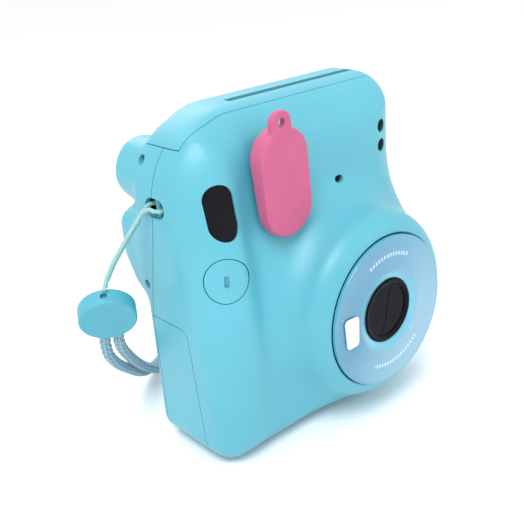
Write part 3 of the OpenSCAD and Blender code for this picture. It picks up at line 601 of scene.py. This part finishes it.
def oriented(piece):
    """Turns all faces outwards."""
    mesh = bmesh.new()
    mesh.from_mesh(piece.data)
    bmesh.ops.recalc_face_normals(mesh, faces=mesh.faces)
    mesh.to_mesh(piece.data)
    mesh.free()
    return piece


def block(name, low, high):
    outline = [(low[0], low[1]), (high[0], low[1]), (high[0], high[1]), (low[0], high[1])]
    return extrusion(name, outline, "z", low[2], high[2])


def arc(cx, cy, r, start, end, n=10):
    return [(cx + r * math.cos(math.radians(start + (end - start) * i / n)),
             cy + r * math.sin(math.radians(start + (end - start) * i / n))) for i in range(n + 1)]


def stadium(cx, low, high, r):
    return arc(cx, high, r, 0, 180, 32) + arc(cx, low, r, 180, 360, 32)


def lathe(name, profile, origin, along, segments=128):
    """Turns a closed profile of (radius, height) about an axis through origin in direction along."""
    along = Vector(along).normalized()
    side = along.orthogonal().normalized()
    other = along.cross(side)
    points, faces, rings = [], [], []
    for r, h in profile:
        base = Vector(origin) + along * h
        if r < 1e-6:
            rings.append([len(points)] * segments)
            points.append(base)
            continue
        rings.append([len(points) + k for k in range(segments)])
        points += [base + side * (r * math.cos(math.tau * k / segments)) +
                   other * (r * math.sin(math.tau * k / segments)) for k in range(segments)]
    n = len(rings)
    for i in range(n):
        a, b = rings[i], rings[(i + 1) % n]
        for k in range(segments):
            face = [a[k], a[(k + 1) % segments], b[(k + 1) % segments], b[k]]
            face = list(dict.fromkeys(face))
            if len(face) > 2:
                faces.append(face)
    return oriented(piece_from(name, [tuple(p) for p in points], faces))


def rod(name, centre, along, r, low, high, segments=96):
    return lathe(name, [(0, low), (r, low), (r, high), (0, high)], centre, along, segments)


# ---------- outer shell ----------

PITCH = 0.85
INNER_PITCH = 1.7
BODY_LOW, BODY_HIGH = (-56, -36, -2), (56, 36, 123.5)


def cavity_distance(p):
    return body_distance(p) + WALL


outer = piece_from("outer", *surface_of(body_distance, BODY_LOW, BODY_HIGH, PITCH))
inner = piece_from("inner", *surface_of(cavity_distance, BODY_LOW, BODY_HIGH, INNER_PITCH))
scrap = [outer, inner]


def tool(piece):
    scrap.append(piece)
    return piece


button_out = (math.sin(BUTTON_TURN), -math.cos(BUTTON_TURN), 0)
power_out = (math.cos(POWER_ANGLE), 0, math.sin(POWER_ANGLE))
power_base = (LENS_X + POWER_RADIUS * power_out[0], POWER_Y, LENS_Z + POWER_RADIUS * power_out[2])


def parting(offset):
    """Side outline of the rear half; it leans forward between the battery cover and the strap lug."""
    y, rise = PART_Y + offset, 39.0
    return [(y, -5), (y, PART_Z), (y - PART_LEAN * rise, PART_Z + rise), (y - PART_LEAN * rise, 130),
            (60, 130), (60, -5)]


def top_cap(offset):
    return tool(block("top region", (-60, TOP_SEAM_Y + offset, TOP_SEAM_Z + offset), (60, 60, 140)))


def battery_region(offset):
    outline = [(-7.2 + offset, -5), (PART_Y + 1, -5), (PART_Y + 1, 51 - offset)]
    outline += arc(0.6, 48, 3 - offset, 90, 175)
    return extrusion("battery region", outline, "x", -60, -41 - offset)


def door_region(offset):
    x0, x1, z0, z1 = DOOR
    x0, x1, z0, z1 = x0 + offset, x1 - offset, z0 + offset, z1 - offset
    outline = arc(x1 - 0.5, z1 - 0.5, 0.5, 0, 90, 2) + arc(x0 + 5, z1 - 5, 5, 90, 180)
    outline += arc(x0 + 5, z0 + 5, 5, 180, 270) + arc(x1 - 0.5, z0 + 0.5, 0.5, 270, 360, 2)
    return extrusion("door region", outline, "y", 19.0, 40)


eyepiece_tube = tool(rod("eyepiece tube", (FINDER_X, 0, EYE_Z), (0, 1, 0), EYE_R + 0.3, 6, 40))
rear_region = tool(extrusion("rear region", parting(GAP), "x", -60, 60))
rear_region_wide = tool(extrusion("rear region wide", parting(-GAP), "x", -60, 60))
top_region = tool(shaped(top_cap(GAP), "top region cut", [("DIFFERENCE", eyepiece_tube)]))
top_region_wide = tool(shaped(top_cap(-GAP), "top region wide", [("DIFFERENCE", tool(
    rod("eyepiece core", (FINDER_X, 0, EYE_Z), (0, 1, 0), EYE_R - 0.05, 6, 60)))]))
slot_cut = tool(extrusion("slot cut", [
    (SLOT_X - SLOT_W / 2, SLOT_Y - 1.7), (SLOT_X + SLOT_W / 2, SLOT_Y - 1.7),
    (SLOT_X + SLOT_W / 2, SLOT_Y + 1.7), (SLOT_X - SLOT_W / 2, SLOT_Y + 1.7)], "z", 112, 130))
lug_cut = tool(extrusion("lug cut", arc(BAR_Y + 1.3, BAR_Z, 3.3, -90, 90, 12)
                         + arc(BAR_Y - 2.4, BAR_Z, 3.3, 90, 270, 12), "x", -60, -46))


def front_cover():
    sensor_outline = arc(15.2, 88, 1.3, -90, 90, 12) + arc(13.6, 88, 1.3, 90, 270, 12)
    holes = [
        rod("ring hole", (LENS_X, -12, LENS_Z), (0, -1, 0), RING_R + 0.3, 0, 30, 192),
        lathe("ring chamfer", [(0, 0), (RING_R + 0.4, 0), (RING_R + 3.4, 3), (0, 3)],
              (LENS_X, -31.35, LENS_Z), (0, -1, 0), 192),
        extrusion("finder hole", stadium(FINDER_X, FINDER_LOW, FINDER_HIGH, 5.2), "y", -30, 0),
        extrusion("flash hole", stadium(FLASH[0], FLASH[2] - 6, FLASH[2] + 6, 6.1), "y", -30, 0),
        rod("meter hole low", (METER_X, 0, METER_Z[0]), (0, -1, 0), 2.5, 0, 30, 48),
        rod("meter hole high", (METER_X, 0, METER_Z[1]), (0, -1, 0), 2.5, 0, 30, 48),
        extrusion("sensor hole", sensor_outline, "y", -30, 0),
        rod("button hole", BUTTON, button_out, BUTTON_R + 0.3, -12, 12),
        rod("power hole", power_base, power_out, POWER_R + 0.3, -4, 8),
        lug_cut, rear_region_wide, top_region_wide, tool(battery_region(-GAP)),
    ]
    scrap.extend(h for h in holes if h not in scrap)
    return shaped(outer, "front_shell", [("DIFFERENCE", inner)] + [("DIFFERENCE", h) for h in holes])


def rear_cover():
    door_gap = tool(door_region(-0.25))
    gap_low, gap_high = DOOR[2] - 0.3, DOOR[3] + 0.3
    barrel_gap = tool(rod("barrel gap", (HINGE_X, HINGE_Y, 0), (0, 0, 1), 2.6, gap_low, gap_high))
    cutters = [("DIFFERENCE", inner), ("INTERSECT", rear_region), ("DIFFERENCE", top_region_wide),
               ("DIFFERENCE", door_gap), ("DIFFERENCE", barrel_gap), ("DIFFERENCE", lug_cut)]
    side_gap = tool(block("hinge side gap", (DOOR[1] - 0.5, 19.5, gap_low), (HINGE_X, 30, gap_high)))
    cutters.append(("DIFFERENCE", side_gap))
    for z in KNUCKLES:
        knuckle = tool(rod("knuckle", (HINGE_X, HINGE_Y, z), (0, 0, 1), HINGE_R, 0, KNUCKLE_H, 48))
        arm = tool(block("knuckle arm", (HINGE_X, HINGE_Y - 2.1, z),
                         (HINGE_X + 2.6, HINGE_Y - 0.2, z + KNUCKLE_H)))
        cutters += [("UNION", knuckle), ("UNION", arm)]
    holes = [
        block("latch recess", (LATCH_X - 3.3, 19.6, LATCH_Z - 9.4), (LATCH_X + 3.3, 30, LATCH_Z + 7.6)),
        block("hook gap", (LATCH_X, 22, LATCH_Z - 3.5), (LATCH_X + 8, 30, LATCH_Z + 3.5)),
        rod("eyepiece bore", (FINDER_X, 0, EYE_Z - 0.6), (0, 1, 0), 7.4, 5, 40),
        lathe("eyepiece flare", [(0, 0), (7.3, 0), (9.3, 2), (0, 2)],
              (FINDER_X, 32.1, EYE_Z - 0.6), (0, 1, 0)),
        rod("side screw hole", (-60, SIDE_SCREW_Y, 63), (1, 0, 0), 1.6, 0, 10, 48),
        rod("deep screw hole", (-60, SIDE_SCREW_Y - 0.2, 106.4), (1, 0, 0), 1.6, 0, 16, 48),
        rod("base screw hole left", (-34, 17.6, -2), (0, 0, 1), 1.6, 0, 8, 48),
        rod("base screw hole right", (30, 17.6, -2), (0, 0, 1), 1.6, 0, 8, 48),
    ]
    scrap.extend(holes)
    return shaped(outer, "rear_shell", cutters + [("DIFFERENCE", h) for h in holes])


def top_cover():
    counter = tool(rod("counter hole", (-12, 18, 114.4), (0, 1, 0), 2.5, 0, 12, 48))
    return shaped(outer, "top_shell", [("DIFFERENCE", inner), ("INTERSECT", top_region),
                                       ("DIFFERENCE", slot_cut), ("DIFFERENCE", counter)])


def film_door():
    leaf = tool(shaped(outer, "door leaf", [("DIFFERENCE", inner), ("INTERSECT", tool(door_region(0.0)))]))
    barrel = tool(rod("hinge barrel", (HINGE_X, HINGE_Y, 0), (0, 0, 1), HINGE_R, DOOR[2], DOOR[3], 48))
    web = tool(block("hinge web", (DOOR[1] - 2, 21.3, DOOR[2] + 0.2), (HINGE_X, 22.9, DOOR[3] - 0.2)))
    hook = tool(block("hook", (DOOR[0] - 1.6, 22.6, LATCH_Z - 3), (DOOR[0] + 3, 24.2, LATCH_Z + 3)))
    gaps = [tool(rod("knuckle gap", (HINGE_X, HINGE_Y, z - 0.3), (0, 0, 1), 3.0, 0, KNUCKLE_H + 0.6, 48))
            for z in KNUCKLES]
    bore = tool(rod("pin bore", (HINGE_X, HINGE_Y, 0), (0, 0, 1), 1.05, 0, 110, 32))
    pack_window = tool(block("pack window", (18, 19, 60), (27, 30, 76)))
    return shaped(leaf, "door_shell", [("UNION", added) for added in (barrel, web, hook)]
                  + [("DIFFERENCE", cut) for cut in (*gaps, bore, pack_window)])


def battery_cover():
    return shaped(outer, "battery_shell", [("DIFFERENCE", inner), ("INTERSECT", tool(battery_region(GAP))),
                                           ("DIFFERENCE", rear_region_wide)])


def shutter_button():
    cap = tool(rod("cap region", BUTTON, button_out, BUTTON_R, -13, 12))
    plunger = tool(rod("plunger gap", BUTTON, button_out, 1.5, -20, -7.15, 32))
    core = tool(block("cap core", (-3.9, 8.15, -3.9), (3.9, 20, 3.9)))
    turn = Matrix.Rotation(BUTTON_TURN, 4, "Z")
    dimple = tool(extrusion("dimple", stadium(0, -1.2, 1.2, 0.85), "y", -8, 0))
    place = Matrix.Translation([c * MM for c in BUTTON]) @ turn
    dimple.data.transform(place @ Matrix.Translation((0, 6.85 * MM, 0)))
    core.data.transform(place)
    return shaped(outer, "release_cap", [("INTERSECT", cap), ("DIFFERENCE", core), ("DIFFERENCE", plunger),
                                         ("DIFFERENCE", dimple)])


def finder_window():
    """Gloss window that follows the body's own curve, a little below it."""
    def sunk(p):
        ends = np.maximum(np.abs(p[..., 0] - FINDER_X) - 7, np.abs(p[..., 2] - FINDER_Z) - 12)
        return np.maximum(np.maximum(body_distance(p) + 0.5, p[..., 1] + 7.0), ends)
    glass_block = tool(piece_from("sunk", *surface_of(sunk, (-50, -18, 76), (-32, -5, 106), 0.7)))
    outline = stadium(FINDER_X, FINDER_LOW, FINDER_HIGH, 5.1)
    region = tool(extrusion("window region", outline, "y", -20, -7.4))
    return shaped(glass_block, "finder_glass", [("INTERSECT", region)])


def finder_tunnel():
    """Light tube between the finder window and the eyepiece."""
    bore = tool(extrusion("tunnel bore", stadium(FINDER_X, 91.9, 98.7, 5.0), "y", -10, 30))
    tube = tool(extrusion("tunnel tube", stadium(FINDER_X, 91.9, 98.7, 5.9), "y", -6.2, 21.3))
    return shaped(tube, "finder_tube", [("DIFFERENCE", bore)])


def screw(place, way):
    """Pan-head screw with a cross recess, along x or z."""
    head = [(1.4, 3.0), (1.4, 3.5), (1.25, 3.8), (0.9, 3.98), (0, 4.05)]
    body = tool(lathe("screw body", [(0, -1), (0.8, -1), (0.8, 3.0)] + head, place, way, 48))
    face = Vector(place) + Vector(way) * 4.0
    across = 2 if way[0] else 0
    arms = []
    for wide, narrow in ((1, across), (across, 1)):
        reach = [0.55, 0.55, 0.55]
        reach[wide], reach[narrow] = 0.9, 0.2
        arms.append(tool(block("screw arm", [f - s for f, s in zip(face, reach)],
                               [f + s for f, s in zip(face, reach)])))
    return tool(shaped(body, "screw", [("DIFFERENCE", a) for a in arms]))


def cover_screws():
    spots = [((-49.2, SIDE_SCREW_Y, 63), (-1, 0, 0)), ((-43.6, SIDE_SCREW_Y - 0.2, 106.4), (-1, 0, 0)),
             ((-34, 17.6, 4.7), (0, 0, -1)), ((30, 17.6, 4.7), (0, 0, -1))]
    first, *rest = [screw(*spot) for spot in spots]
    return shaped(first, "screw_heads", [("UNION", other) for other in rest])


for maker in (front_cover, rear_cover, top_cover, film_door, battery_cover, shutter_button):
    finish_piece(shade(maker()), maker.__name__)


# ---------- flash cap ----------

def flash_cap():
    pitch = 0.45
    low, high = (-11.8, -10.0, -21.5), (11.8, 0.5, 26.5)
    cap = piece_from("soft_cap", *surface_of(flash_cap_distance, low, high, pitch))
    cap.data.transform(Matrix.Translation(Vector(CAP_PLACE) * MM) @ Matrix.Rotation(CAP_ROLL, 4, "Y"))
    return shade(cap, 50)


finish_piece(flash_cap(), "flash_cover")


# ---------- lens front ----------

def lens_ring():
    edge = [(RING_R - 0.5 + 0.5 * math.sin(math.radians(a)), 32.5 + 0.75 * math.cos(math.radians(a)))
            for a in range(0, 91, 15)]
    face = [(r, 33.25 - 0.45 * math.sin(math.pi * (r - 15.4) / (RING_R - 0.5 - 15.4)))
            for r in np.linspace(15.4, RING_R - 0.5, 14)]
    lip = [(HOLE_R + 0.2, 31.65), (HOLE_R + 0.3, 32.0), (HOLE_R + 1.2, 32.4),
           (13.9, 32.75), (14.7, 33.0), (15.1, 33.2)]
    profile = lip + face[:-1] + edge + [(RING_R, 31.65)]
    return lathe("pearl_front", profile, (LENS_X, 0, LENS_Z), (0, -1, 0), 192)


def lens_rim():
    profile = [(HOLE_R - 2.0, 31.6), (HOLE_R - 2.0, 31.9), (HOLE_R - 1.6, 32.0), (HOLE_R - 1.5, 32.2),
               (HOLE_R - 1.1, 32.5), (HOLE_R - 0.6, 32.6), (HOLE_R - 0.1, 32.4), (HOLE_R, 32.1),
               (HOLE_R, 31.6)]
    return lathe("black_rim", profile, (LENS_X, 0, LENS_Z), (0, -1, 0), 128)


def mirror():
    cx, cz = LENS_X - 20.6, LENS_Z - 0.6
    outline = (arc(cx + 1.9, cz + 4.1, 1.6, 0, 90, 6) + arc(cx - 1.9, cz + 4.3, 1.6, 90, 180, 6)
               + arc(cx - 1.2, cz - 4.1, 1.6, 180, 270, 6) + arc(cx + 1.7, cz - 4.1, 1.6, 270, 360, 6))
    return extrusion("mirror_plate", outline, "y", FRONT, -33.1)


def power_button():
    profile = [(0, -3.2), (1.2, -3.2), (1.2, -2.4), (POWER_R, -2.4), (POWER_R, 0.2)]
    profile += [(POWER_R - 0.7 + 0.7 * math.cos(math.radians(a)), 0.2 + 0.7 * math.sin(math.radians(a)))
                for a in range(15, 91, 15)]
    profile += [(2.4, 0.86), (1.4, 0.72), (0, 0.66)]
    return lathe("power_cap", profile, power_base, power_out, 64)


def meter_dome(z):
    profile = [(0, 5.4), (2.4, 5.4), (2.4, 7.2)] + [
        (2.4 * math.cos(math.radians(a)), 7.2 + 0.6 * math.sin(math.radians(a))) for a in range(15, 90, 15)]
    return lathe("meter_dome", profile + [(0, 7.8)], (METER_X, 0, z), (0, -1, 0), 48)


def meter_windows():
    both = tool(meter_dome(METER_Z[0]))
    return shaped(both, "meter_domes", [("UNION", tool(meter_dome(METER_Z[1])))])


finish_piece(shade(lens_ring(), 40), "lens_ring")
finish_piece(shade(lens_rim(), 40), "lens_rim")
finish_piece(shade(mirror()), "selfie_mirror")
finish_piece(shade(power_button(), 40), "power_button")
finish_piece(shade(meter_windows(), 40), "meter_windows")
finish_piece(shade(finder_window()), "viewfinder_window")
finish_piece(shade(finder_tunnel()), "viewfinder_tunnel")
finish_piece(shade(cover_screws()), "cover_screws")


# ---------- strap ----------

def smooth_route(route, steps):
    """The same curve through the route's points as in the part's source."""
    p = [np.array(v, float) for v in route]
    made = [p[0]]
    for i in range(len(p) - 1):
        a, b, c, d = p[max(i - 1, 0)], p[i], p[i + 1], p[min(i + 2, len(p) - 1)]
        for s in range(1, steps + 1):
            t = s / steps
            made.append(0.5 * (2 * b + (c - a) * t + (2 * a - 5 * b + 4 * c - d) * t * t
                               + (3 * b - a - 3 * c + d) * t ** 3))
    return np.array(made)


def evenly(points, pitch):
    run = np.concatenate([[0], np.cumsum(np.linalg.norm(np.diff(points, axis=0), axis=1))])
    count = max(int(run[-1] / pitch), 8)
    at = np.linspace(0, run[-1], count)
    return np.stack([np.interp(at, run, points[:, i]) for i in range(3)], -1), at


def braided(name, route, diameter, sides, pitch, strand, around):
    """Tube along a route with the diamond relief of a braid, and a UV of turns and length."""
    points, run = evenly(smooth_route(route, 12), pitch)
    tangent = np.gradient(points, axis=0)
    tangent /= np.linalg.norm(tangent, axis=1)[:, None]
    side = np.cross(tangent[0], (0.3, 0.9, 0.2))
    verts, faces = [], []
    for i, (centre, t) in enumerate(zip(points, tangent)):
        side = side - t * (side @ t)
        side = side / np.linalg.norm(side)
        other = np.cross(t, side)
        for k in range(sides):
            turn = k / sides
            left = math.sin(math.pi * (turn * around + run[i] / strand))
            right = math.sin(math.pi * (turn * around - run[i] / strand))
            r = diameter / 2 * (0.86 + 0.14 * abs(left * right))
            angle = math.tau * turn
            verts.append(centre + r * (side * math.cos(angle) + other * math.sin(angle)))
    n = len(points)
    for i in range(n - 1):
        for k in range(sides):
            m = (k + 1) % sides
            faces.append([i * sides + k, i * sides + m, (i + 1) * sides + m, (i + 1) * sides + k])
    faces.append(list(range(sides))[::-1])
    faces.append([(n - 1) * sides + k for k in range(sides)])
    piece = piece_from(name, verts, faces)
    layer = piece.data.uv_layers.new(name="braid")
    for face in piece.data.polygons:
        corners = [piece.data.loops[c].vertex_index for c in face.loop_indices]
        columns = [v % sides for v in corners]
        wraps = len(corners) == 4 and max(columns) == sides - 1 and 0 in columns
        for c, v in zip(face.loop_indices, corners):
            turn = 1.0 if wraps and v % sides == 0 else (v % sides) / sides
            layer.data[c].uv = (turn, run[v // sides] * MM)
    return shade(piece, 70), points


def strap_disc():
    level = (math.sin(DISC_TURN), -math.cos(DISC_TURN))
    out = Vector((level[0] * math.cos(DISC_TILT), level[1] * math.cos(DISC_TILT), -math.sin(DISC_TILT)))
    side = Vector((math.cos(DISC_TURN), math.sin(DISC_TURN), 0))
    down = out.cross(side) if out.cross(side).z < 0 else side.cross(out)
    centre = Vector(DISC)
    half, edge = DISC_T / 2, 0.8
    rim = arc(DISC_R - edge, half - edge, edge, 0, 90, 6)
    front = rim + [(DISC_R - 1.4, half - 0.06), (DISC_R - 1.7, half - 0.16)]
    front += [(5, half - 0.22), (0, half - 0.25)]
    back = [(r, -h) for r, h in front[::-1]]
    disc = tool(lathe("disc core", front + back[1:], DISC, out, 128))
    eyelet = tool(rod("cord eyelet", tuple(centre - down * DISC_R - side * 0.1), down, 1.2, -2, 1.6, 48))
    collars = [lathe("collar", [(0, -1.5), (2.5, -1.5), (2.5, 0.9), (2.0, 1.4), (0, 1.4)],
                     tuple(centre + down * (DISC_R - 1.4) + side * s), down, 48) for s in (-2.3, 2.3)]
    scrap.extend(collars)
    return shaped(disc, "strap_button", [("DIFFERENCE", eyelet)] + [("UNION", c) for c in collars])


def add_cord(piece, node):
    finish_piece(piece, node, "root")


thin, thin_path = braided("wrist_cord", CORD_ROUTE, CORD_D, 16, 0.25, 1.1, 3)
add_cord(thin, "strap_cord")
thick, thick_path = braided("wrist_band", BAND_ROUTE, BAND_D, 28, 0.35, 3.0, 4)
add_cord(thick, "strap_band")
finish_piece(shade(strap_disc(), 40), "strap_disc")


# ---------- floor, CAD nodes, finish ----------

def add_floor():
    s = Shader("pale floor", 0.75)
    s.colour(s.ramp(s.noise(3, 2), [(0.3, (0.93, 0.95, 0.97)), (0.7, (0.96, 0.97, 0.98))]))
    s.bump(s.noise(400, 2), 0.00002, 0.2)
    mesh = bpy.data.meshes.new("floor")
    corners = [(x, y, -0.0002) for x, y in ((-4, -4), (4, -4), (4, 4), (-4, 4))]
    mesh.from_pydata(corners, [], [(0, 1, 2, 3)])
    floor = bpy.data.objects.new("floor", mesh)
    floor.data.materials.append(s.material)
    bpy.context.scene.collection.objects.link(floor)


for node, thing in frame["nodes"].items():
    material = PALETTE[SLOT_OF[node]]
    if not thing.data.materials:
        thing.data.materials.append(material)
    for place in thing.material_slots:
        place.material = material

for piece in scrap:
    bpy.data.objects.remove(piece)

add_floor()
